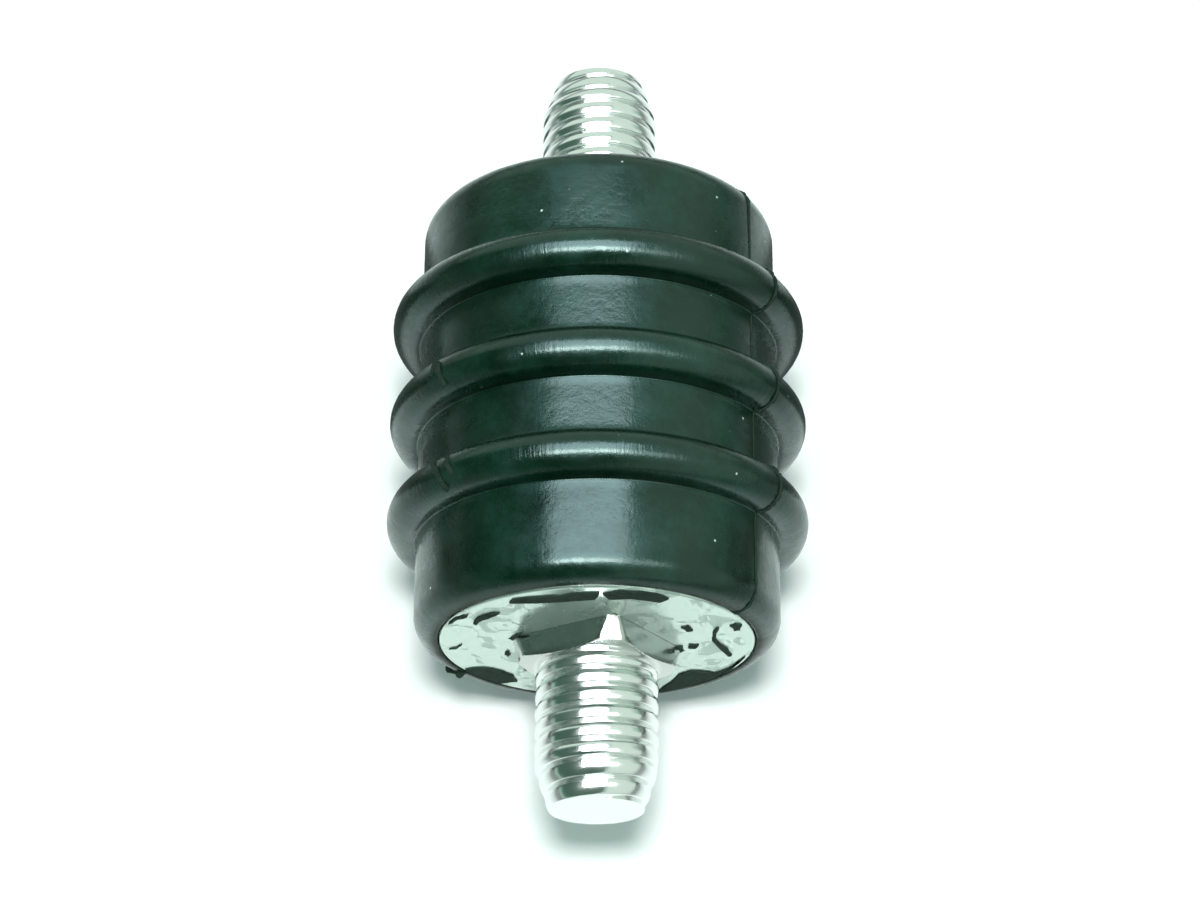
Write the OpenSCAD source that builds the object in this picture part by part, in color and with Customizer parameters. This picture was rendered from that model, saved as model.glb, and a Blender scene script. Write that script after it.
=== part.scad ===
// Ribbed rubber mount for an outboard motor. The rubber cylinder lies along Y, with its middle at
// the origin. A steel plate is bonded into each end, and a bolt with a cup head and a square neck
// passes through each plate, with its head buried in the rubber and its stud standing out.

/* [Rubber body] */
// Diameter of the rubber between the ribs
body_d = 30; // [29:0.5:45]
// Length of the rubber from end to end
body_l = 38; // [36:0.5:60]
// Length of the rounding at each end, measured along the axis
end_round_l = 2; // [0.5:0.1:4]
// Depth of the rounding at each end, measured across the axis
end_round_d = 1.8; // [0.3:0.1:2]

/* [Ribs] */
// Number of ribs round the body
rib_count = 3; // [1:1:4]
// Distance from one rib to the next
rib_pitch = 8.9; // [6:0.1:10]
// Diameter of a rib's round section
rib_d = 3.9; // [2:0.1:5]
// Height of the middle of a rib's section above the rubber's wall
rib_lift = 0.5; // [0:0.1:0.9]

/* [Mould flash] */
// Height of the thin fin that the mould's parting line leaves on the rubber
flash_h = 0.25; // [0.1:0.05:0.5]
// Thickness of that fin
flash_t = 0.2; // [0.1:0.05:0.5]
// Angle of the parting line above level, on the +X side
flash_turn = 33; // [0:1:60]

/* [End plates] */
// Diameter of a plate
plate_d = 25.8; // [22:0.1:26]
// Thickness of a plate
plate_t = 4; // [2:0.1:5]
// How far a plate's face stands out of the rubber
plate_proud = 0.1; // [0.05:0.05:0.8]
// Radius of the rounding on a plate's outer rim
plate_rim_r = 0.65; // [0.1:0.05:1]

/* [Bolts] */
// Outer diameter of the thread
stud_d = 10; // [8:0.5:12]
// Length of a stud from its square neck to its tip
stud_l = 11.8; // [8:0.1:40]
// How much nearer the axis a stud's wall is at its tip than along its thread
tip_cut = 1.1; // [0.5:0.1:1.5]
// Length of the taper that leads to the tip
tip_taper_l = 3.3; // [0.5:0.1:4]
// How far each flat of the square neck stands outside the thread
neck_step = 0.2; // [0.1:0.05:0.5]
// How much is taken off each corner of the square neck
neck_corner_cut = 0.45; // [0.2:0.05:0.9]
// How much nearer the axis each of those corners is at its end than at the plate
neck_corner_slope = 0.55; // [0.1:0.05:0.9]
// Length of the cone that leads from those corners to the stud
neck_cone_l = 0.4; // [0.2:0.05:0.9]
// How far a neck stands out of its plate
neck_proud = 2.2; // [1.1:0.05:4]
// Turn of a neck's upper corner away from straight up
neck_turn = 11; // [0:1:90]
// How far the rim of a bolt's head stays inside the rim of its plate
head_inset = 0.9; // [0.5:0.1:3]
// Height of a bolt's domed head
head_h = 5.4; // [3:0.1:7]

/* [Fits] */
// Clearance between a square neck and each side of its hole
neck_gap = 0.15; // [0.05:0.05:0.3]
// Thickness of the bonding layer between curved steel and rubber
bond_line = 0.05; // [0.02:0.01:0.1]

/* [Hidden] */
$fn = 96;
body_r = body_d / 2;
body_half = body_l / 2;
plate_r = plate_d / 2;
// Distance from the middle of the mount to the outer face of a plate
face_y = body_half + plate_proud;
neck_af = stud_d + 2 * neck_step;
neck_corner_d = neck_af * sqrt(2) - 2 * neck_corner_cut;
// Width over the same corners where they stop, and how far that is from the plate
neck_end_d = neck_corner_d - 2 * neck_corner_slope;
neck_end_z = neck_proud - neck_cone_l;
// A square's corners stand at 45 degrees until it is turned
square_corner = 45;
hole_af = neck_af + 2 * neck_gap;
head_r = plate_r - head_inset;
// Radius of the sphere that gives the head its width and its height
dome_r = (head_r * head_r + head_h * head_h) / (2 * head_h);
// Length by which a cutting shape runs past the surface that it opens
cut_past = 1;
// Number of straight steps in each rounded end of the rubber's outline
round_steps = 16;

// Places a piece at the front end, with its +Z pointing out along -Y from the plate's outer face
module at_front() {
    rotate([90, 0, 0])
        translate([0, 0, face_y])
            children();
}

// Places a piece at the rear end, with its +Z pointing out along +Y from the plate's outer face
module at_rear() {
    rotate([-90, 0, 0])
        translate([0, 0, face_y])
            children();
}

// Points of a quarter ellipse from the wall of the rubber round to its flat end, with the wall
// moved out by the given amount
function end_round(grow) = [
    for (i = [0 : round_steps])
        let (t = 90 * i / round_steps)
            [body_r + grow - (end_round_d + grow) * (1 - cos(t)), body_half - end_round_l * (1 - sin(t))]
];

// The same points at the other end, in reverse order
function other_end_round(grow) = [
    for (i = [round_steps : -1 : 0])
        [end_round(grow)[i][0], -end_round(grow)[i][1]]
];

// Half section of the rubber, with x as the radius and y along the axis
module rubber_section(grow = 0) {
    polygon(concat([[0, -body_half]], other_end_round(grow), end_round(grow), [[0, body_half]]));
    for (i = [0 : rib_count - 1])
        translate([body_r + rib_lift, (i - (rib_count - 1) / 2) * rib_pitch])
            circle(d = rib_d + 2 * grow);
}

// Thin fin along the parting line: the whole section, a little larger, in one flat sheet
module mould_flash() {
    rotate([0, -flash_turn, 0])
        linear_extrude(height = flash_t, center = true) {
            rubber_section(flash_h);
            mirror([1, 0, 0])
                rubber_section(flash_h);
        }
}

// Domed head of a bolt, with a layer of the given thickness on its curved side
module bolt_head(layer = 0) {
    translate([0, 0, -plate_t])
        intersection() {
            translate([0, 0, dome_r - head_h])
                sphere(r = dome_r + layer);
            translate([0, 0, -head_h - cut_past])
                cylinder(r = head_r + cut_past, h = head_h + cut_past);
        }
}

// Room in the rubber for one plate and the bolt's head behind it
module end_pocket() {
    translate([0, 0, -plate_t])
        cylinder(r = plate_r + bond_line, h = plate_t + cut_past);
    bolt_head(bond_line);
}

// Square of the given width across its flats, turned as the neck is
module turned_square(width, height) {
    rotate(square_corner - neck_turn)
        translate([-width / 2, -width / 2, 0])
            cube([width, width, height]);
}

// Steel disc with a rounded outer rim and a square hole
module end_plate() {
    difference() {
        translate([0, 0, -plate_t])
            rotate_extrude() {
                square([plate_r - plate_rim_r, plate_t]);
                square([plate_r, plate_t - plate_rim_r]);
                translate([plate_r - plate_rim_r, plate_t - plate_rim_r])
                    circle(r = plate_rim_r);
            }
        translate([0, 0, -plate_t - cut_past])
            turned_square(hole_af, plate_t + 2 * cut_past);
    }
}

// Square neck with its corners turned round: straight in the plate, tapered where it stands out,
// and coned down to the stud at its end
module bolt_neck() {
    intersection() {
        translate([0, 0, -plate_t])
            turned_square(neck_af, plate_t + neck_proud);
        union() {
            translate([0, 0, -plate_t])
                cylinder(d = neck_corner_d, h = plate_t);
            cylinder(d1 = neck_corner_d, d2 = neck_end_d, h = neck_end_z);
            translate([0, 0, neck_end_z])
                cylinder(d1 = neck_end_d, d2 = stud_d, h = neck_cone_l);
        }
    }
}

// Bolt with a domed head, a square neck, and a stud that tapers to its tip
module end_bolt() {
    bolt_head();
    bolt_neck();
    translate([0, 0, neck_proud]) {
        cylinder(d = stud_d, h = stud_l - tip_taper_l);
        translate([0, 0, stud_l - tip_taper_l])
            cylinder(d1 = stud_d, d2 = stud_d - 2 * tip_cut, h = tip_taper_l);
    }
}

module rubber_body() {
    color("#1d2523")
        difference() {
            union() {
                rotate([-90, 0, 0])
                    rotate_extrude()
                        rubber_section();
                mould_flash();
            }
            at_front() end_pocket();
            at_rear() end_pocket();
        }
}

module front_plate() {
    color("#cfdcd7") at_front() end_plate();
}

module front_bolt() {
    color("#dbe2de") at_front() end_bolt();
}

module rear_plate() {
    color("#cfdcd7") at_rear() end_plate();
}

module rear_bolt() {
    color("#dbe2de") at_rear() end_bolt();
}

rubber_body();
front_plate();
front_bolt();
rear_plate();
rear_bolt();
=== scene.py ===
# %% [markdown]
# A vibration mount for an outboard motor: a ribbed rubber cylinder with a steel plate bonded into
# each end, and a bolt standing out of each plate. The solids from the CAD stage give every place
# and size, so this lesson opens them first.

import math
import random

import bmesh
import bpy
from mathutils import Matrix, Vector


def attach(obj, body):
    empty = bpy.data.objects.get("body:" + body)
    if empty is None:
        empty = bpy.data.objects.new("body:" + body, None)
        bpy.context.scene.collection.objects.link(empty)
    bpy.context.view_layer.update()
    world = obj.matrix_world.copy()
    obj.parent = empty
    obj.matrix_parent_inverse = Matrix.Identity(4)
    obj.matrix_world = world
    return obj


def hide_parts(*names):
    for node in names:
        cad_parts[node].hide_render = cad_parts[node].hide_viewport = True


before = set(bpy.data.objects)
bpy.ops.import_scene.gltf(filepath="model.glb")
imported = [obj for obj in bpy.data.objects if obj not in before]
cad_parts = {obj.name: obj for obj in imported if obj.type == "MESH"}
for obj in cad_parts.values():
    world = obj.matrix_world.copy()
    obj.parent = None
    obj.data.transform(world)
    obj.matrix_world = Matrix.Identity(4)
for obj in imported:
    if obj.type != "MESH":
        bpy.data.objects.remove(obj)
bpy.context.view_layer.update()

# %% [markdown]
# The pieces are drawn in millimetres, because that is how the mount would be measured, and are
# brought to metres once, when a mesh becomes an object. The sizes below repeat the CAD's own. The
# mount lies along Y with its middle at the origin, and the end that the camera sees points to -Y.

# %% Sizes of the mount in millimetres
MM = 0.001
BODY_R = 15.0
BODY_HALF = 19.0
END_ROUND_L = 2.0
END_ROUND_D = 1.8
RIB_PITCH = 8.9
RIB_R = 1.95
RIB_LIFT = 0.5
PLATE_R = 12.9
PLATE_T = 4.0
FACE_Y = 19.1
BACK_Y = FACE_Y - PLATE_T
HEAD_R = 12.0
HEAD_H = 5.4
NECK_AF = 10.4
NECK_TURN = math.radians(11)
SHOULDER_Y = FACE_Y + 2.2
STUD_R = 5.0
STUD_L = 11.8
TIP_Y = SHOULDER_Y + STUD_L
TIP_CUT = 1.1
TIP_TAPER_L = 3.3
BOND = 0.05
FLASH_TURN = math.radians(33)
print("stud tip at", TIP_Y, "mm from the middle")

# %% [markdown]
# Every mesh ends the same way: doubled points are merged, faces are turned outwards, millimetres
# become metres, and the piece is tied to the mount's one rigid body. Doing it in one helper keeps
# each piece's own cell about its shape alone.

# %% Finish a mesh as a piece
MERGE_MM = 0.002
SHARP_ANGLE = math.radians(40)


def finish_piece(bm, name, material):
    bmesh.ops.remove_doubles(bm, verts=bm.verts[:], dist=MERGE_MM)
    bmesh.ops.recalc_face_normals(bm, faces=bm.faces[:])
    bmesh.ops.scale(bm, vec=(MM, MM, MM), verts=bm.verts[:])
    mesh = bpy.data.meshes.new(name)
    bm.to_mesh(mesh)
    bm.free()
    mesh.shade_smooth()
    mesh.set_sharp_from_angle(angle=SHARP_ANGLE)
    mesh.materials.append(material)
    piece = bpy.data.objects.new(name, mesh)
    bpy.context.scene.collection.objects.link(piece)
    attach(piece, "root")
    print(name, "has", len(mesh.polygons), "faces")
    return piece


# %% [markdown]
# Materials are built from nodes, and a few small helpers are enough for all of them. One turns a
# colour as it is read off a screen into the linear values that the renderer works with. Another
# adds a node, sets it and feeds its inputs, either with plain values or with other nodes' outputs.

# %% Colour and node helpers


def linear(hex_colour):
    parts = [int(hex_colour[i:i + 2], 16) / 255 for i in (1, 3, 5)]
    bright = [p / 12.92 if p <= 0.04045 else ((p + 0.055) / 1.055) ** 2.4 for p in parts]
    return (*bright, 1.0)


def add(tree, kind, feeds=None, **settings):
    node = tree.nodes.new(kind)
    for key, value in settings.items():
        setattr(node, key, value)
    for socket, source in (feeds or {}).items():
        if isinstance(source, bpy.types.NodeSocket):
            tree.links.new(source, node.inputs[socket])
        else:
            node.inputs[socket].default_value = source
    return node


def new_material(name):
    material = bpy.data.materials.new(name)
    material.use_nodes = True
    material.node_tree.nodes.clear()
    return material, material.node_tree


def per_metre(millimetres):
    return 1.0 / (millimetres * MM)


def span(value, start, end, low, high):
    return {"Value": value, "From Min": start, "From Max": end, "To Min": low, "To Max": high}


print("black rubber in linear light:", linear("#011a0d")[:3])

# %% [markdown]
# Moulded natural rubber, filled with carbon black. Its skin copies the mould: fine lines cross the
# ribs where the mould's grooves were polished, gloss and height change in cloudy patches of a few
# millimetres, and a film of wax gives it a second, sharper shine. Where the wax blooms the rubber
# turns paler, and a few specks of dust lie on it. The lip round the plate was trimmed with a knife
# and has lost its skin, so it stays dull.
#
# The patterns come first. An image could hold them, but noise on Object coordinates needs no
# unwrapping and has no seam. The lines run along the axis, so they are drawn on the distance round
# the body, which follows from the angle about the axis.

# %% Rubber: patterns
LINE_STRETCH = 0.05
# Polishing lines are about 0.1 mm apart; they are drawn at 0.25 mm so that they show
LINE_MM = 0.25
CLOUD_MM = 3.5
GRAIN_MM = 0.3
rubber, tree = new_material("moulded_black_rubber")
spot = add(tree, "ShaderNodeTexCoord").outputs["Object"]
split = add(tree, "ShaderNodeSeparateXYZ", {"Vector": spot})
turn = add(tree, "ShaderNodeMath", {0: split.outputs["X"], 1: split.outputs["Z"]}, operation="ARCTAN2")
around = add(tree, "ShaderNodeMath", {0: turn.outputs[0], 1: BODY_R * MM}, operation="MULTIPLY")
along = add(tree, "ShaderNodeMath", {0: split.outputs["Y"], 1: LINE_STRETCH}, operation="MULTIPLY")
lines_at = add(tree, "ShaderNodeCombineXYZ", {"X": around.outputs[0], "Y": along.outputs[0]})
lines = add(
    tree,
    "ShaderNodeTexNoise",
    {"Vector": lines_at.outputs[0], "Scale": per_metre(LINE_MM), "Detail": 3.0, "Roughness": 0.65},
)
cloud = add(
    tree,
    "ShaderNodeTexNoise",
    {"Vector": spot, "Scale": per_metre(CLOUD_MM), "Detail": 6.0, "Roughness": 0.7},
)
grain = add(tree, "ShaderNodeTexNoise", {"Vector": spot, "Scale": per_metre(GRAIN_MM), "Detail": 4.0})
across = add(tree, "ShaderNodeCombineXYZ", {"X": split.outputs["X"], "Z": split.outputs["Z"]})
reach = add(tree, "ShaderNodeVectorMath", {0: across.outputs[0]}, operation="LENGTH")
from_axis = reach.outputs["Value"]
print("rubber patterns use", len(tree.nodes), "nodes")

# %% [markdown]
# Under its shine the rubber is a very dark green black. The wax that has come to the surface makes it
# paler in wide clouds, and the dust is a pale dot in some cells of a Voronoi pattern.

# %% Rubber: colour
WAX_MM = 6.0
DUST_MM = 2.8
wax = add(
    tree, "ShaderNodeTexNoise", {"Vector": spot, "Scale": per_metre(WAX_MM), "Detail": 6.0, "Roughness": 0.7}
)
bloom = add(tree, "ShaderNodeMapRange", span(wax.outputs["Fac"], 0.46, 0.68, 0.0, 0.8))
tint = add(
    tree,
    "ShaderNodeMix",
    {0: bloom.outputs["Result"], 6: linear("#011a0d"), 7: linear("#14362b")},
    data_type="RGBA",
)
dust = add(tree, "ShaderNodeTexVoronoi", {"Vector": spot, "Scale": per_metre(DUST_MM)})
speck = add(tree, "ShaderNodeMapRange", span(dust.outputs["Distance"], 0.03, 0.045, 1.0, 0.0))
skin_colour = add(
    tree,
    "ShaderNodeMix",
    {0: speck.outputs["Result"], 6: tint.outputs[2], 7: linear("#c9d6d2")},
    data_type="RGBA",
)
print("with its colour the rubber uses", len(tree.nodes), "nodes")

# %% [markdown]
# Most of what the eye reads on black rubber is the shine, so most of the patterns go into roughness and
# bump. Three bumps are chained, each bending the normal that the one before it gives: lines that are
# strong only on the ribs, the cloudy swell, and a fine grain. The wax is the shader's coat. Both shines
# fade at the trimmed lip, which is found by its distance from the axis.

# %% Rubber: surface
LINE_H = 0.06
CLOUD_H = 0.15
GRAIN_H = 0.03
rib_at = (BODY_R + 0.6) * MM, (BODY_R + 2) * MM
lip_at = (PLATE_R + 0.4) * MM, (PLATE_R + 1.1) * MM
on_rib = add(tree, "ShaderNodeMapRange", span(from_axis, *rib_at, 0.05, 0.4))
skin_shine = add(tree, "ShaderNodeMapRange", span(from_axis, *lip_at, 0.1, 0.5))
wax_shine = add(tree, "ShaderNodeMapRange", span(from_axis, *lip_at, 0.0, 0.38))
gloss = add(tree, "ShaderNodeMapRange", span(cloud.outputs["Fac"], 0.35, 0.65, 0.2, 0.4))
ridges = add(
    tree,
    "ShaderNodeBump",
    {"Height": lines.outputs["Fac"], "Strength": on_rib.outputs["Result"], "Distance": LINE_H * MM},
)
swell = add(
    tree,
    "ShaderNodeBump",
    {"Height": cloud.outputs["Fac"], "Strength": 0.4, "Distance": CLOUD_H * MM, "Normal": ridges.outputs[0]},
)
skin = add(
    tree,
    "ShaderNodeBump",
    {"Height": grain.outputs["Fac"], "Strength": 0.25, "Distance": GRAIN_H * MM, "Normal": swell.outputs[0]},
)
surface = add(
    tree,
    "ShaderNodeBsdfPrincipled",
    {
        "Base Color": skin_colour.outputs[2],
        "Roughness": gloss.outputs["Result"],
        "Normal": skin.outputs[0],
        "Coat Normal": skin.outputs[0],
        "IOR": 1.52,
        "Specular IOR Level": skin_shine.outputs["Result"],
        "Specular Tint": linear("#c8f9f4"),
        "Coat Weight": wax_shine.outputs["Result"],
        "Coat Roughness": 0.14,
        "Coat IOR": 1.5,
        "Coat Tint": linear("#f0fdf9"),
    },
)
add(tree, "ShaderNodeOutputMaterial", {"Surface": surface.outputs[0]})
print("rubber uses", len(tree.nodes), "nodes in all")

# %% [markdown]
# Rubber that was torn instead of moulded has no skin: it is matt and a little crumbly, so it stays
# dark where the skin would mirror the white sheet. A coarse bump breaks up what shine is left.

# %% Torn rubber
CRUMB_MM = 0.5
CRUMB_H = 0.1
torn_rubber, tree = new_material("torn_black_rubber")
spot = add(tree, "ShaderNodeTexCoord").outputs["Object"]
crumbs = add(tree, "ShaderNodeTexNoise", {"Vector": spot, "Scale": per_metre(CRUMB_MM), "Detail": 4.0})
tint = add(
    tree,
    "ShaderNodeMix",
    {0: crumbs.outputs["Fac"], 6: linear("#04170f"), 7: linear("#2a4036")},
    data_type="RGBA",
)
rough = add(
    tree, "ShaderNodeBump", {"Height": crumbs.outputs["Fac"], "Strength": 0.6, "Distance": CRUMB_H * MM}
)
surface = add(
    tree,
    "ShaderNodeBsdfPrincipled",
    {
        "Base Color": tint.outputs[2],
        "Roughness": 0.8,
        "Specular IOR Level": 0.2,
        "Normal": rough.outputs[0],
    },
)
add(tree, "ShaderNodeOutputMaterial", {"Surface": surface.outputs[0]})
print("torn rubber uses", len(tree.nodes), "nodes")

# %% [markdown]
# Bright plated steel for the end plates. Plating over a flat disc leaves a mirror with a slight
# ripple, and the film that the bonding leaves behind dulls it in sharp-edged patches. The patches
# change the roughness and the shade a little, so the plate still mirrors the neck that stands on it.
# A second, rougher surface mixed into the first adds the haze that greys the mirrored neck.

# %% Plate steel
PATCH_MM = 2.6
RIPPLE_MM = 3.0
RIPPLE_H = 0.1
HAZE_SHARE = 0.3
plate_steel, tree = new_material("bright_plated_plate_steel")
spot = add(tree, "ShaderNodeTexCoord").outputs["Object"]
patch = add(
    tree,
    "ShaderNodeTexNoise",
    {"Vector": spot, "Scale": per_metre(PATCH_MM), "Detail": 3.0, "Roughness": 0.55, "Distortion": 1.2},
)
film = add(tree, "ShaderNodeMapRange", span(patch.outputs["Fac"], 0.55, 0.58, 0.0, 1.0))
dull = add(tree, "ShaderNodeMapRange", span(film.outputs["Result"], 0.0, 1.0, 0.1, 0.34))
shade = add(
    tree,
    "ShaderNodeMix",
    {0: film.outputs["Result"], 6: linear("#cfdfd7"), 7: linear("#afc0b8")},
    data_type="RGBA",
)
ripple = add(tree, "ShaderNodeTexNoise", {"Vector": spot, "Scale": per_metre(RIPPLE_MM), "Detail": 2.0})
waves = add(
    tree, "ShaderNodeBump", {"Height": ripple.outputs["Fac"], "Strength": 0.3, "Distance": RIPPLE_H * MM}
)
mirror = add(
    tree,
    "ShaderNodeBsdfPrincipled",
    {
        "Base Color": shade.outputs[2],
        "Metallic": 1.0,
        "Roughness": dull.outputs["Result"],
        "Normal": waves.outputs[0],
    },
)
haze = add(
    tree, "ShaderNodeBsdfPrincipled", {"Base Color": shade.outputs[2], "Metallic": 1.0, "Roughness": 0.55}
)
surface = add(tree, "ShaderNodeMixShader", {0: HAZE_SHARE, 1: mirror.outputs[0], 2: haze.outputs[0]})
add(tree, "ShaderNodeOutputMaterial", {"Surface": surface.outputs[0]})
print("plate steel uses", len(tree.nodes), "nodes")

# %% [markdown]
# Rolled and plated steel for the bolts. Rolling presses the thread smooth, so its crests shine more
# softly than the plate. The neck keeps the darker skin of the forging, and the fine lines of the bar
# that it was forged from, which run along the axis.

# %% Bolt steel
# Drawing lines are a few hundredths of a millimetre apart; they are drawn coarser so that they show
DRAW_MM = 0.3
DRAW_H = 0.03
DRAW_STRETCH = 0.06
BLOTCH_MM = 1.5
bolt_steel, tree = new_material("rolled_plated_bolt_steel")
spot = add(tree, "ShaderNodeTexCoord").outputs["Object"]
stretch = add(tree, "ShaderNodeMapping", {"Vector": spot, "Scale": (1.0, DRAW_STRETCH, 1.0)})
draw_lines = add(
    tree, "ShaderNodeTexNoise", {"Vector": stretch.outputs[0], "Scale": per_metre(DRAW_MM), "Detail": 3.0}
)
blotch = add(tree, "ShaderNodeTexNoise", {"Vector": spot, "Scale": per_metre(BLOTCH_MM), "Detail": 3.0})
shine = add(tree, "ShaderNodeMapRange", span(blotch.outputs["Fac"], 0.35, 0.65, 0.13, 0.2))
split = add(tree, "ShaderNodeSeparateXYZ", {"Vector": spot})
out = add(tree, "ShaderNodeMath", {0: split.outputs["Y"]}, operation="ABSOLUTE")
shoulder_at = (SHOULDER_Y - 0.1) * MM, (SHOULDER_Y + 0.1) * MM
rolled = add(tree, "ShaderNodeMapRange", span(out.outputs[0], *shoulder_at, 0.0, 1.0))
tone = add(
    tree,
    "ShaderNodeMix",
    {0: rolled.outputs["Result"], 6: linear("#c9cdca"), 7: linear("#f1f4f2")},
    data_type="RGBA",
)
marks = add(
    tree, "ShaderNodeBump", {"Height": draw_lines.outputs["Fac"], "Strength": 0.15, "Distance": DRAW_H * MM}
)
surface = add(
    tree,
    "ShaderNodeBsdfPrincipled",
    {
        "Base Color": tone.outputs[2],
        "Metallic": 1.0,
        "Roughness": shine.outputs["Result"],
        "Normal": marks.outputs[0],
    },
)
add(tree, "ShaderNodeOutputMaterial", {"Surface": surface.outputs[0]})
print("bolt steel uses", len(tree.nodes), "nodes")

# %% [markdown]
# The rubber is a body of revolution, so its half section is drawn once and spun about the Y axis.
# The half section is a line of points made of short arcs: the soft lip round the plate, the rounded
# end, and each rib with a small fillet at its two roots. The same line runs on through the pocket
# for the plate and the hollow for the bolt's head, so the spun skin is closed.

# %% Half section of the rubber
LIP_R = 0.25
ROOT_FILLET = 0.12
SKIRT_RISE = 0.08
SKIRT_L = 1.2
SKIRT_STEPS = 8
ARC_STEP = math.radians(7)


def arc(centre, radii, start, end):
    steps = max(2, math.ceil(abs(end - start) / ARC_STEP))
    turns = [start + (end - start) * i / steps for i in range(steps + 1)]
    return [(centre[0] + radii[0] * math.cos(t), centre[1] + radii[1] * math.sin(t)) for t in turns]


def mirrored(line):
    return [(r, -y) for r, y in reversed(line)]


def rib_line(middle):
    reach = RIB_R + ROOT_FILLET
    side = SKIRT_RISE + ROOT_FILLET - RIB_LIFT
    half = math.sqrt(reach * reach - side * side)
    meet = math.atan2(half, side)
    root = arc((BODY_R + SKIRT_RISE + ROOT_FILLET, half), (ROOT_FILLET, ROOT_FILLET), math.pi + meet, math.pi)
    shares = [i / SKIRT_STEPS for i in range(1, SKIRT_STEPS + 1)]
    skirt = [(BODY_R + SKIRT_RISE * (1 - s) ** 4, half + SKIRT_L * s) for s in shares]
    crown = arc((BODY_R + RIB_LIFT, 0.0), (RIB_R, RIB_R), -meet, meet)
    line = mirrored(root + skirt) + crown[1:-1] + root + skirt
    return [(r, y + middle) for r, y in line]


def end_line():
    lip_in = PLATE_R + BOND
    lip = arc((lip_in + LIP_R, LIP_R - BODY_HALF), (LIP_R, LIP_R), math.pi, 1.5 * math.pi)
    corner = (BODY_R - END_ROUND_D, END_ROUND_L - BODY_HALF)
    return lip + arc(corner, (END_ROUND_D, END_ROUND_L), -0.5 * math.pi, 0.0)


outer_line = end_line()
for place in (-RIB_PITCH, 0.0, RIB_PITCH):
    outer_line += rib_line(place)
outer_line += mirrored(end_line())
print("outer line of the rubber has", len(outer_line), "points")

# %% [markdown]
# The pocket's floor carries a dish for the domed head. The dish is part of a sphere whose radius
# follows from the head's width and height, as it does in the CAD. A spin slows down as its mesh
# grows, so one wedge is spun in fine steps, and copies of the wedge then complete the turn.

# %% Hollow for plate and head, and the spin
SPIN_STEPS = 192
WEDGES = 8
FULL_TURN = 2 * math.pi
DOME_R = (HEAD_R ** 2 + HEAD_H ** 2) / (2 * HEAD_H)
ROUND_Y = {"cent": (0, 0, 0), "axis": (0, 1, 0), "dvec": (0, 0, 0)}


def dome_line(layer):
    radius = DOME_R + layer
    centre_y = HEAD_H - BACK_Y - DOME_R
    rim = math.asin((-BACK_Y - centre_y) / radius)
    return arc((0.0, centre_y), (radius, radius), 0.5 * math.pi, rim)


def draw_line(bm, line):
    points = [bm.verts.new((r, y, 0.0)) for r, y in line]
    return points, [bm.edges.new(pair) for pair in zip(points, points[1:])]


def lathe(line):
    bm = bmesh.new()
    points, edges = draw_line(bm, line)
    wedge = FULL_TURN / WEDGES
    bmesh.ops.spin(bm, geom=points + edges, angle=wedge, steps=SPIN_STEPS // WEDGES, **ROUND_Y)
    everything = bm.verts[:] + bm.edges[:] + bm.faces[:]
    rest = FULL_TURN - wedge
    bmesh.ops.spin(bm, geom=everything, angle=rest, steps=WEDGES - 1, use_duplicate=True, **ROUND_Y)
    bmesh.ops.remove_doubles(bm, verts=bm.verts[:], dist=MERGE_MM)
    return bm


pocket_line = dome_line(BOND) + [(PLATE_R + BOND, -BACK_Y)]
bm = lathe(pocket_line + outer_line + mirrored(pocket_line))
moulding = finish_piece(bm, "rubber_moulding", rubber)
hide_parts("rubber_body")

# %% [markdown]
# Rubber squeezes a little way into the joint between the mould's halves and leaves a thin, uneven
# fin, high where it crosses a rib and nearly gone on the bands between. The fin follows the rubber's
# outer line on both sides: that line and a copy of it, moved outwards by an uneven height, are
# bridged into a strip, which is given a thickness and turned into the parting plane.

# %% Mould flash
FIN_T = 0.15
FIN_ROOT = 0.08
RIB_FIN_H = 0.22
BAND_FIN_H = 0.1
END_FIN_H = 0.16
TAB_FIN_H = 0.5
uneven = random.Random(5)


def moved_out(line, amounts):
    moved = []
    for i, (r, y) in enumerate(line):
        before = line[max(i - 1, 0)]
        after = line[min(i + 1, len(line) - 1)]
        run = Vector((after[0] - before[0], after[1] - before[1])).normalized()
        moved.append((r + run.y * amounts[i], y - run.x * amounts[i]))
    return moved


def fin(bm, turn, line, amounts, thick=FIN_T, slant=0.0):
    start = len(bm.verts)
    low = draw_line(bm, moved_out(line, [-FIN_ROOT] * len(line)))[1]
    high = draw_line(bm, moved_out(line, amounts))[1]
    strip = bmesh.ops.bridge_loops(bm, edges=low + high)["faces"]
    bm.normal_update()
    bmesh.ops.solidify(bm, geom=strip, thickness=thick)
    bm.verts.ensure_lookup_table()
    new = bm.verts[start:]
    middle = sum(vert.co.z for vert in new) / len(new)
    bmesh.ops.translate(bm, vec=(0, 0, -middle), verts=new)
    halfway = (0, line[len(line) // 2][1], 0)
    bmesh.ops.rotate(bm, cent=halfway, matrix=Matrix.Rotation(slant, 3, "X"), verts=new)
    bmesh.ops.rotate(bm, cent=(0, 0, 0), matrix=Matrix.Rotation(turn, 3, "Y"), verts=new)


def fin_heights(line, tab_end):
    heights = []
    for r, y in line:
        height = BAND_FIN_H
        if r > BODY_R + RIB_LIFT:
            height = RIB_FIN_H
        elif abs(y) > BODY_HALF - END_ROUND_L:
            height = TAB_FIN_H if y * tab_end > 0 and r > PLATE_R + 2 * LIP_R else END_FIN_H
        heights.append(height * uneven.uniform(0.4, 1.2))
    return heights


bm = bmesh.new()
fin(bm, -FLASH_TURN, outer_line, fin_heights(outer_line, 0))
fin(bm, math.pi - FLASH_TURN, outer_line, fin_heights(outer_line, -1))
finish_piece(bm, "mould_flash", torn_rubber)

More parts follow.
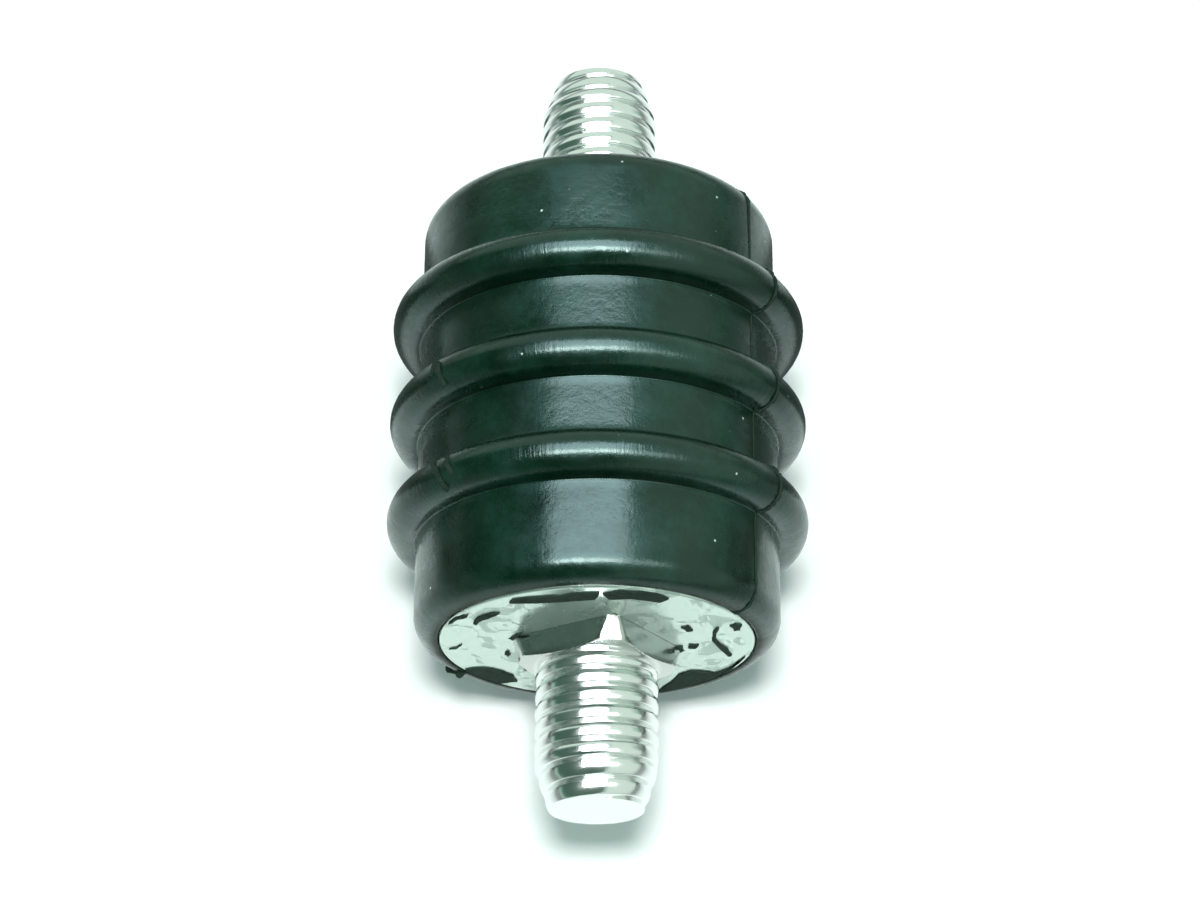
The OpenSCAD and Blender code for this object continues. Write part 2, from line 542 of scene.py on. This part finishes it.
# %% [markdown]
# Two ribs were scuffed on the left when the mount was pulled out of the mould, and short torn lips
# stand across their crowns. Each is made as the flash is, from half of the line over a rib's crown,
# but thicker, and slanted a little across the rib.

# %% Scuffs on two ribs
SCUFF_H = 0.3
SCUFF_T = 0.35
SCUFFS = [
    (0.0, 47, 14, 0.2),
    (0.0, 50, -6, 0.4),
    (-RIB_PITCH, 43, 24, 0.3),
    (-RIB_PITCH, 46, 18, 0.1),
    (-RIB_PITCH, 49, 26, 0.4),
]
bm = bmesh.new()
for middle, left_of_top, slant, start in SCUFFS:
    crown = [point for point in rib_line(middle) if point[0] > BODY_R + 2 * RIB_LIFT]
    part = crown[round(start * len(crown)):round((start + 0.5) * len(crown))]
    heights = [SCUFF_H * uneven.uniform(0.1, 1.0) for _ in part]
    fin(bm, -math.radians(90 + left_of_top), part, heights, SCUFF_T, math.radians(slant))
finish_piece(bm, "rib_scuffs", torn_rubber)

# %% [markdown]
# Each plate is a disc with a rounded rim and a square hole. Its rim is spun. The hole starts as a circle
# with as many short edges as the rim has and is pressed flat on four sides, and a bridge joins the two
# outlines on the front and on the back. Bridging equal counts gives clean strips with no long
# triangles. The CAD leaves the neck some room in its hole. Here the hole is drawn closer and the rim's
# rounding smaller, because the real plate shows no gap and only a thin bright rim.

# %% Plates
RING_R = 12.0
RIM_R = 0.3
HOLE_AF = 10.46
SAME_Y = 0.05


def stand_up(bm, ring, turn, y):
    bmesh.ops.rotate(bm, cent=(0, 0, 0), matrix=Matrix.Rotation(turn, 3, "Z"), verts=ring)
    bmesh.ops.rotate(bm, cent=(0, 0, 0), matrix=Matrix.Rotation(math.pi / 2, 3, "X"), verts=ring)
    bmesh.ops.translate(bm, vec=(0, y, 0), verts=ring)
    return list({edge for vert in ring for edge in vert.link_edges})


def pressed_ring(bm, across, corner_r, y):
    ring = bmesh.ops.create_circle(bm, segments=SPIN_STEPS, radius=corner_r)["verts"]
    for vert in ring:
        vert.co *= min(1.0, 0.5 * across / max(abs(vert.co.x), abs(vert.co.y)))
    return stand_up(bm, ring, math.pi / 4 - NECK_TURN, y)


def open_edges(bm, y):
    rim = [edge for edge in bm.edges if edge.is_boundary]
    return [edge for edge in rim if all(abs(vert.co.y - y) < SAME_Y for vert in edge.verts)]


def plate_mesh():
    rim = arc((PLATE_R - RIM_R, RIM_R - FACE_Y), (RIM_R, RIM_R), -0.5 * math.pi, 0.0)
    bm = lathe([(RING_R, -FACE_Y)] + rim + [(PLATE_R, -BACK_Y), (RING_R, -BACK_Y)])
    outer_front = open_edges(bm, -FACE_Y)
    outer_back = open_edges(bm, -BACK_Y)
    corner_r = HOLE_AF / math.sqrt(2)
    hole_front = pressed_ring(bm, HOLE_AF, corner_r, -FACE_Y)
    hole_back = pressed_ring(bm, HOLE_AF, corner_r, -BACK_Y)
    for pair in (outer_front + hole_front, hole_front + hole_back, hole_back + outer_back):
        bmesh.ops.bridge_loops(bm, edges=pair)
    return bm


def turned_to_rear(bm):
    rear = bm.copy()
    bmesh.ops.rotate(rear, cent=(0, 0, 0), matrix=Matrix.Rotation(math.pi, 3, "X"), verts=rear.verts[:])
    return rear


bm = plate_mesh()
far_plate = finish_piece(turned_to_rear(bm), "far_end_plate", plate_steel)
near_plate = finish_piece(bm, "near_end_plate", plate_steel)
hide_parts("rear_plate")
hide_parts("front_plate")

# %% [markdown]
# A thread is one small groove carried round the stud while it moves along, and spin does just that
# when it is given a step along the axis. One turn is spun, copies of it follow each other along the
# stud, and the rows are merged into one skin. Two cuts trim it square. Moving points inwards then
# gives the chamfer at the tip and the faded first turn beside the neck.

# %% Thread
THREAD_PITCH = 1.5
GROOVE_DEPTH = 0.55
GROOVE_HALF = 0.15
CREST_CROWN = 0.22
TURN_POINTS = 26
TURN_STEPS = 96
RUN_OUT = 0.6
SHANK_R = 4.75
FIRST_Y = 2 * THREAD_PITCH - 0.2


def crest_r(share):
    off = abs(share - 0.5)
    crown = CREST_CROWN * (1 - 2 * off) ** 2
    if off >= GROOVE_HALF:
        return STUD_R - crown
    return STUD_R - crown - GROOVE_DEPTH * 0.5 * (1 + math.cos(math.pi * off / GROOVE_HALF))


def thread_mesh():
    bm = bmesh.new()
    shares = [i / TURN_POINTS for i in range(TURN_POINTS + 1)]
    start = FIRST_Y - SHOULDER_Y
    points, edges = draw_line(bm, [(crest_r(s), start - s * THREAD_PITCH) for s in shares])
    bmesh.ops.spin(
        bm,
        geom=points + edges,
        cent=(0, 0, 0),
        axis=(0, -1, 0),
        dvec=(0, -THREAD_PITCH / TURN_STEPS, 0),
        angle=FULL_TURN,
        steps=TURN_STEPS,
    )
    one_turn = bm.verts[:] + bm.edges[:] + bm.faces[:]
    for i in range(1, round(STUD_L / THREAD_PITCH) + 3):
        copy = bmesh.ops.duplicate(bm, geom=one_turn)["geom"]
        moved = [item for item in copy if isinstance(item, bmesh.types.BMVert)]
        bmesh.ops.translate(bm, vec=(0, -i * THREAD_PITCH, 0), verts=moved)
    bmesh.ops.remove_doubles(bm, verts=bm.verts[:], dist=MERGE_MM)
    for y, side in ((-SHOULDER_Y, 1), (-TIP_Y, -1)):
        everything = bm.verts[:] + bm.edges[:] + bm.faces[:]
        bmesh.ops.bisect_plane(
            bm, geom=everything, dist=MERGE_MM, plane_co=(0, y, 0), plane_no=(0, side, 0), clear_outer=True
        )
    return bm


def trim_thread(bm):
    for vert in bm.verts:
        r = math.hypot(vert.co.x, vert.co.z)
        out = -vert.co.y
        share = max(0.0, min(1.0, (out - SHOULDER_Y) / RUN_OUT))
        faded = SHANK_R + (r - SHANK_R) * share * share * (3 - 2 * share)
        cone = STUD_R - TIP_CUT * (1 - max(0.0, TIP_Y - out) / TIP_TAPER_L)
        slim = min(1.0, cone / STUD_R) * faded / r
        vert.co.x *= slim
        vert.co.z *= slim


thread = thread_mesh()
trim_thread(thread)
print("thread has", len(thread.faces), "faces")

# %% [markdown]
# The bolt grows from that thread. Its tip is closed with a flat face. Its square neck is a row of
# circles pressed flat on four sides, which leaves rounded corners. From the plate outwards the
# circles shrink slowly, and at the end fast, because the corners are turned down there to a short
# cone that meets the stud. The hidden head is spun from the dome's arc. Bridges join head, neck and
# thread into one closed skin.

# %% Bolts
CORNER_FOOT_R = 6.9
CORNER_END_R = 6.35
CONE_L = 0.4
CONE_ROWS = 10
NECK_ROWS = 4


def steps(start, end, count):
    return [tuple(a + (b - a) * i / count for a, b in zip(start, end)) for i in range(count)]


def neck_rings(bm):
    shoulder = (STUD_R, -SHOULDER_Y)
    corner_end = (CORNER_END_R, CONE_L - SHOULDER_Y)
    foot = (CORNER_FOOT_R, -FACE_Y)
    line = steps(shoulder, corner_end, CONE_ROWS) + steps(corner_end, foot, NECK_ROWS)
    line += [foot, (CORNER_FOOT_R, -BACK_Y)]
    return [pressed_ring(bm, NECK_AF, corner_r, y) for corner_r, y in line]


def bolt_mesh(bm):
    bmesh.ops.contextual_create(bm, geom=open_edges(bm, -TIP_Y))
    loops = [open_edges(bm, -SHOULDER_Y)] + neck_rings(bm)
    head = lathe(dome_line(0.0) + [(CORNER_FOOT_R + 1.0, -BACK_Y)])
    head_mesh = bpy.data.meshes.new("head")
    head.to_mesh(head_mesh)
    head.free()
    bm.from_mesh(head_mesh)
    bpy.data.meshes.remove(head_mesh)
    loops.append([edge for edge in open_edges(bm, -BACK_Y) if edge not in set(loops[-1])])
    for pair in zip(loops, loops[1:]):
        bmesh.ops.bridge_loops(bm, edges=pair[0] + pair[1])
    return bm


bm = bolt_mesh(thread)
far_bolt = finish_piece(turned_to_rear(bm), "far_bolt", bolt_steel)
near_bolt = finish_piece(bm, "near_bolt", bolt_steel)
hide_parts("rear_bolt")
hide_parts("front_bolt")

# %% [markdown]
# Torn bits of the rubber's feather edge stay stuck to the near plate. Each is a flat chip with a few
# corners, drawn on the plate's face as across and up from the axis. One more point a little off the
# middle of each side makes its edge ragged, and extruding the face gives it a thickness.

# %% Rubber scraps on the near plate
SCRAP_T = 0.12
SCRAP_RAGGED = 0.13
SCRAPS = [
    [(-11.9, 4.7), (-11.4, 6.0), (-10.7, 6.7), (-10.2, 6.9), (-10.4, 6.3), (-11.1, 5.9), (-11.6, 5.0)],
    [(-9.9, 4.9), (-9.5, 6.3), (-8.5, 7.2), (-7.7, 7.3), (-8.2, 6.6), (-9.1, 5.7), (-9.6, 4.7)],
    [(-6.9, 9.5), (-6.6, 10.3), (-4.3, 10.9), (-2.9, 11.1), (-1.6, 11.7), (0.2, 11.8), (-0.2, 10.4),
     (-3.1, 9.8)],
    [(0.4, 11.6), (1.8, 12.3), (3.5, 12.1), (4.7, 11.6), (5.6, 10.6), (4.9, 9.8), (2.6, 10.6), (0.9, 10.4)],
    [(-7.0, 1.6), (-6.5, 2.5), (-6.0, 2.8), (-6.4, 1.9), (-6.8, 1.3)],
    [(-7.6, -2.2), (-7.2, -1.4), (-7.1, -2.3), (-7.3, -2.9)],
    [(-6.1, -5.8), (-5.9, -5.4), (-5.9, -6.3)],
    [(-11.0, -6.1), (-9.9, -5.6), (-8.7, -5.8), (-7.8, -6.5), (-7.0, -7.4), (-6.7, -8.9),
     (-8.1, -9.4), (-9.6, -8.1)],
    [(-12.1, -1.1), (-11.5, -0.8), (-11.0, 0.0), (-11.5, -1.0)],
    [(10.6, 4.6), (11.0, 5.0), (11.6, 4.8), (11.5, 3.7), (11.0, 3.5)],
    [(9.3, 2.9), (9.6, 4.2), (9.8, 3.9), (9.6, 2.6), (9.6, 1.6), (10.7, -0.8), (11.1, -2.2),
     (10.8, -2.5), (9.3, 1.3)],
    [(6.7, 4.2), (7.3, 4.5), (7.7, 3.5), (7.2, 3.3)],
    [(7.5, 0.1), (8.3, 0.2), (8.1, -0.6), (7.5, -0.6)],
    [(5.2, -11.4), (6.3, -8.9), (6.8, -7.1), (7.8, -6.1), (9.0, -6.3), (9.8, -6.7), (11.1, -5.3),
     (12.2, -2.6), (11.2, -5.8), (9.6, -8.1), (7.6, -10.1)],
    [(6.5, -0.3), (7.0, -0.2), (7.1, -1.2), (6.6, -1.8)],
]


def ragged(outline):
    points = []
    for (x, z), (next_x, next_z) in zip(outline, outline[1:] + outline[:1]):
        off_x, off_z = [uneven.uniform(-SCRAP_RAGGED, SCRAP_RAGGED) for _ in range(2)]
        points += [(x, z), (0.5 * (x + next_x) + off_x, 0.5 * (z + next_z) + off_z)]
    return points


bm = bmesh.new()
for outline in SCRAPS:
    chip = bm.faces.new([bm.verts.new((x, -FACE_Y, z)) for x, z in ragged(outline)])
    bm.normal_update()
    if chip.normal.y > 0:
        chip.normal_flip()
    top = bmesh.ops.extrude_face_region(bm, geom=[chip])["geom"]
    lifted = [item for item in top if isinstance(item, bmesh.types.BMVert)]
    bmesh.ops.translate(bm, vec=(0, -SCRAP_T, 0), verts=lifted)
finish_piece(bm, "rubber_scraps", torn_rubber)

# %% [markdown]
# The mount lies on a plain white sheet. The sheet is lit like everything else, so it keeps the
# mount's soft shadow. For rays from the camera it also glows a little, so that it reads as the clean
# white of a catalogue picture. For all other rays, such as those from the rubber's shine, shade is
# painted into the sheet's colour: it is painted dark beside the mount and painted darker further
# off, and stays bright before and behind the mount. That keeps the rubber's sides deep.

# %% Paper
SHEET_GLOW = 0.1
# In metres: where the sheet's painted fade starts and stops for those rays, and its painted dark stretch
PAINTED_FADE_AT = 0.03, 0.1
PAINTED_SHADE_MIDDLE_Y = 0.017
PAINTED_SHADE_EDGE = 0.0105, 0.0145
floor_paint, tree = new_material("white_paper")
from_camera = add(tree, "ShaderNodeLightPath").outputs["Is Camera Ray"]
spot = add(tree, "ShaderNodeTexCoord").outputs["Object"]
oval = add(tree, "ShaderNodeVectorMath", {0: spot, 1: (1.0, 0.5, 0.0)}, operation="MULTIPLY")
away = add(tree, "ShaderNodeVectorMath", {0: oval.outputs[0]}, operation="LENGTH")
# painted shade: for all but camera rays the sheet is painted darker with distance from the mount
near = add(tree, "ShaderNodeMapRange", span(away.outputs["Value"], *PAINTED_FADE_AT, 1.0, 0.3))
split = add(tree, "ShaderNodeSeparateXYZ", {"Vector": spot})
# painted shade: a stretch of the sheet beside the mount is painted dark for those rays
off = add(tree, "ShaderNodeMath", {0: split.outputs["Y"], 1: PAINTED_SHADE_MIDDLE_Y}, operation="SUBTRACT")
aside = add(tree, "ShaderNodeMath", {0: off.outputs[0]}, operation="ABSOLUTE")
painted_shade_band = add(tree, "ShaderNodeMapRange", span(aside.outputs[0], *PAINTED_SHADE_EDGE, 0.12, 1.0))
bright = add(tree, "ShaderNodeMath", {0: near.outputs[0], 1: painted_shade_band.outputs[0]}, operation="MULTIPLY")
seen = add(tree, "ShaderNodeMath", {0: from_camera, 1: bright.outputs[0]}, operation="MAXIMUM")
# the sheet's colour: plain white for camera rays, white with the painted shade above for all other rays
white = add(
    tree,
    "ShaderNodeMix",
    {0: seen.outputs[0], 6: linear("#000000"), 7: linear("#f2f5f4")},
    data_type="RGBA",
)
glow = add(tree, "ShaderNodeMath", {0: from_camera, 1: SHEET_GLOW}, operation="MULTIPLY")
paper = add(tree, "ShaderNodeBsdfDiffuse", {"Color": white.outputs[2]})
lift = add(tree, "ShaderNodeEmission", {"Color": linear("#e9fbf5"), "Strength": glow.outputs[0]})
both = add(tree, "ShaderNodeAddShader", {0: paper.outputs[0], 1: lift.outputs[0]})
add(tree, "ShaderNodeOutputMaterial", {"Surface": both.outputs[0]})
print("paper uses", len(tree.nodes), "nodes")

# %% [markdown]
# The sheet itself is one large flat face, at the height where the ribs of the mount touch it.

# %% Floor
FLOOR_HALF = 3.0
FLOOR_Z = -(BODY_R + RIB_LIFT + RIB_R) * MM
bm = bmesh.new()
bmesh.ops.create_grid(bm, x_segments=1, y_segments=1, size=FLOOR_HALF)
bmesh.ops.translate(bm, vec=(0, 0, FLOOR_Z), verts=bm.verts[:])
mesh = bpy.data.meshes.new("floor")
bm.to_mesh(mesh)
bm.free()
mesh.materials.append(floor_paint)
floor = bpy.data.objects.new("floor", mesh)
bpy.context.scene.collection.objects.link(floor)
print("floor at", round(FLOOR_Z, 5), "m")

# %% [markdown]
# Shiny rubber and steel show what stands round them, so the lamps are part of the picture. One small
# lamp lights the sheet, which gives the mount a narrow shadow, and stays out of the mirrors. Three
# panels do the reverse and show only in the shine: a broad one gives the pale strip along the top of
# the rubber, one nearer to the camera gives the bright line on each rib, and a dim one beside it
# softens that line's right end. Each panel is given by the angles between which the mount sees it.

# %% Lamps
LAMP_AWAY = 0.6


def panel(name, left, right, front, back, radiance, colour):
    lamp = bpy.data.lights.new(name, "AREA")
    lamp.color = linear(colour)[:3]
    lamp.shape = "RECTANGLE"
    lamp.size = LAMP_AWAY * (math.tan(right) - math.tan(left))
    lamp.size_y = LAMP_AWAY * 2 * math.tan(0.5 * (back - front))
    lamp.energy = radiance * math.pi * lamp.size * lamp.size_y
    tilt = 0.5 * (front + back)
    holder = bpy.data.objects.new(name, lamp)
    shift = 0.5 * LAMP_AWAY * (math.tan(right) + math.tan(left))
    holder.location = (shift, LAMP_AWAY * math.sin(tilt), LAMP_AWAY * math.cos(tilt))
    holder.rotation_euler = (-tilt, 0, 0)
    holder.visible_camera = False
    bpy.context.scene.collection.objects.link(holder)
    print(name, "is", round(lamp.size, 3), "by", round(lamp.size_y, 3), "m at", round(lamp.energy, 2), "W")
    return holder


def degrees(*angles):
    return [math.radians(angle) for angle in angles]


panel("key_lamp", *degrees(-5, 5, -14, -5), 104.0, "#ffffff").visible_glossy = False
for shine in (
    panel("broad_panel", *degrees(-28, 19, -7, 26), 6.9, "#f0f6ff"),
    panel("rib_lamp", *degrees(-25, 14, -21, -7), 21.0, "#ffffff"),
    panel("wing_lamp", *degrees(15, 40, -24, -6), 3.2, "#ffffff"),
):
    shine.visible_diffuse = False

# %% [markdown]
# The room is a world of nodes. An image of a studio is the usual way, but a few soft steps say plainly
# what each surface mirrors. In the shine the room is dark on the left and grey on the right, and low
# down it is lit only towards the camera, where the studs see it and the flat bands of the rubber do
# not. Matt surfaces get an even, pale green light from above instead, which fills the shadows, and the
# camera sees white.

# %% Room
# Each row says where a change in the light starts and ends, and how bright the room is before and after
RIGHT_WALL = 0.3, 0.5, 0.12, 0.8
LOW_RIGHT = 1.15, 1.85, 1.0, 0.1
LOW_LEFT = -1.5, -1.35, 0.55, 0.0
CAMERA_SIDE = 0.15, 0.32, 1.0, 0.0
FAR_WALL = 0.44, 0.58, 0.0, 0.8
NEAR_WALL = -0.93, -0.86, 0.12, 0.0
OVERHEAD = 0.3, 0.65, 0.05, 0.55
world = bpy.data.worlds.new("room")
world.use_nodes = True
tree = world.node_tree
tree.nodes.clear()
toward = add(tree, "ShaderNodeTexCoord").outputs["Generated"]
split = add(tree, "ShaderNodeSeparateXYZ", {"Vector": toward})
tilt = add(tree, "ShaderNodeMath", {0: split.outputs["X"], 1: split.outputs["Z"]}, operation="ARCTAN2")
lean = tilt.outputs[0]
depth = split.outputs["Y"]
right = add(tree, "ShaderNodeMapRange", span(lean, *RIGHT_WALL)).outputs[0]
low_right = add(tree, "ShaderNodeMapRange", span(lean, *LOW_RIGHT)).outputs[0]
low_left = add(tree, "ShaderNodeMapRange", span(lean, *LOW_LEFT)).outputs[0]
camera_side = add(tree, "ShaderNodeMapRange", span(depth, *CAMERA_SIDE)).outputs[0]
behind = add(tree, "ShaderNodeMapRange", span(depth, *FAR_WALL)).outputs[0]
front = add(tree, "ShaderNodeMapRange", span(depth, *NEAR_WALL)).outputs[0]
overhead = add(tree, "ShaderNodeMapRange", span(split.outputs["Z"], *OVERHEAD)).outputs[0]
lit_left = add(tree, "ShaderNodeMath", {0: low_left, 1: camera_side}, operation="MULTIPLY")
lit_right = add(tree, "ShaderNodeMath", {0: low_right, 1: camera_side}, operation="MAXIMUM")
walls = add(tree, "ShaderNodeMath", {0: right, 1: lit_right.outputs[0]}, operation="MULTIPLY")
sides = add(tree, "ShaderNodeMath", {0: walls.outputs[0], 1: lit_left.outputs[0]}, operation="MAXIMUM")
ends = add(tree, "ShaderNodeMath", {0: behind, 1: front}, operation="MAXIMUM")
level = add(tree, "ShaderNodeMath", {0: sides.outputs[0], 1: ends.outputs[0]}, operation="MAXIMUM")
print("mirrored room uses", len(tree.nodes), "nodes")

# %% [markdown]
# Light Path tells the rays apart. Rays from a mirror get the steps above, in a tint that is greener
# where the room is dark. All others get the light from overhead, and rays from the camera plain white.
# The view transform is Standard, so that a colour comes out as it was written.

# %% What each ray sees
path = add(tree, "ShaderNodeLightPath")
from_camera = path.outputs["Is Camera Ray"]
from_mirror = path.outputs["Is Glossy Ray"]
plain = add(tree, "ShaderNodeMath", {0: overhead, 1: from_camera}, operation="MAXIMUM")
seen = add(tree, "ShaderNodeMix", {0: from_mirror, 2: plain.outputs[0], 3: level.outputs[0]})
paint = add(
    tree, "ShaderNodeMix", {0: level.outputs[0], 6: linear("#b4ffe0"), 7: linear("#f6fff6")}, data_type="RGBA"
)
sky = add(
    tree, "ShaderNodeMix", {0: from_camera, 6: linear("#d2f7ee"), 7: linear("#ffffff")}, data_type="RGBA"
)
hue = add(tree, "ShaderNodeMix", {0: from_mirror, 6: sky.outputs[2], 7: paint.outputs[2]}, data_type="RGBA")
glow = add(tree, "ShaderNodeBackground", {"Color": hue.outputs[2], "Strength": seen.outputs[0]})
add(tree, "ShaderNodeOutputWorld", {"Surface": glow.outputs[0]})
bpy.context.scene.world = world
bpy.context.scene.view_settings.view_transform = "Standard"
print("room uses", len(tree.nodes), "nodes")

# %% [markdown]
# The camera was found by fitting the outlines of the ribs, the plate and the studs: it looks down at
# about 66 degrees from a quarter of a metre away. Lens and distance go together, so the near stud
# keeps its larger look.

# %% Camera
CAMERA_RISE = math.radians(66.05)
CAMERA_AWAY = 0.24447
LOOK_AT = Vector((0.00018, -0.00176, 0.0))
CAMERA_ROLL = math.radians(0.22)
camera_data = bpy.data.cameras.new("camera")
camera_data.sensor_width = 36.0
camera_data.sensor_fit = "HORIZONTAL"
camera_data.lens = 87.435
camera_data.clip_start = 0.01
camera = bpy.data.objects.new("camera", camera_data)
back = Vector((0, -math.cos(CAMERA_RISE), math.sin(CAMERA_RISE)))
camera.location = LOOK_AT + back * CAMERA_AWAY
tilt = Matrix.Rotation(math.pi / 2 - CAMERA_RISE, 3, "X") @ Matrix.Rotation(CAMERA_ROLL, 3, "Z")
camera.rotation_euler = tilt.to_euler()
bpy.context.scene.collection.objects.link(camera)
bpy.context.scene.camera = camera
print("camera at", [round(v, 4) for v in camera.location])
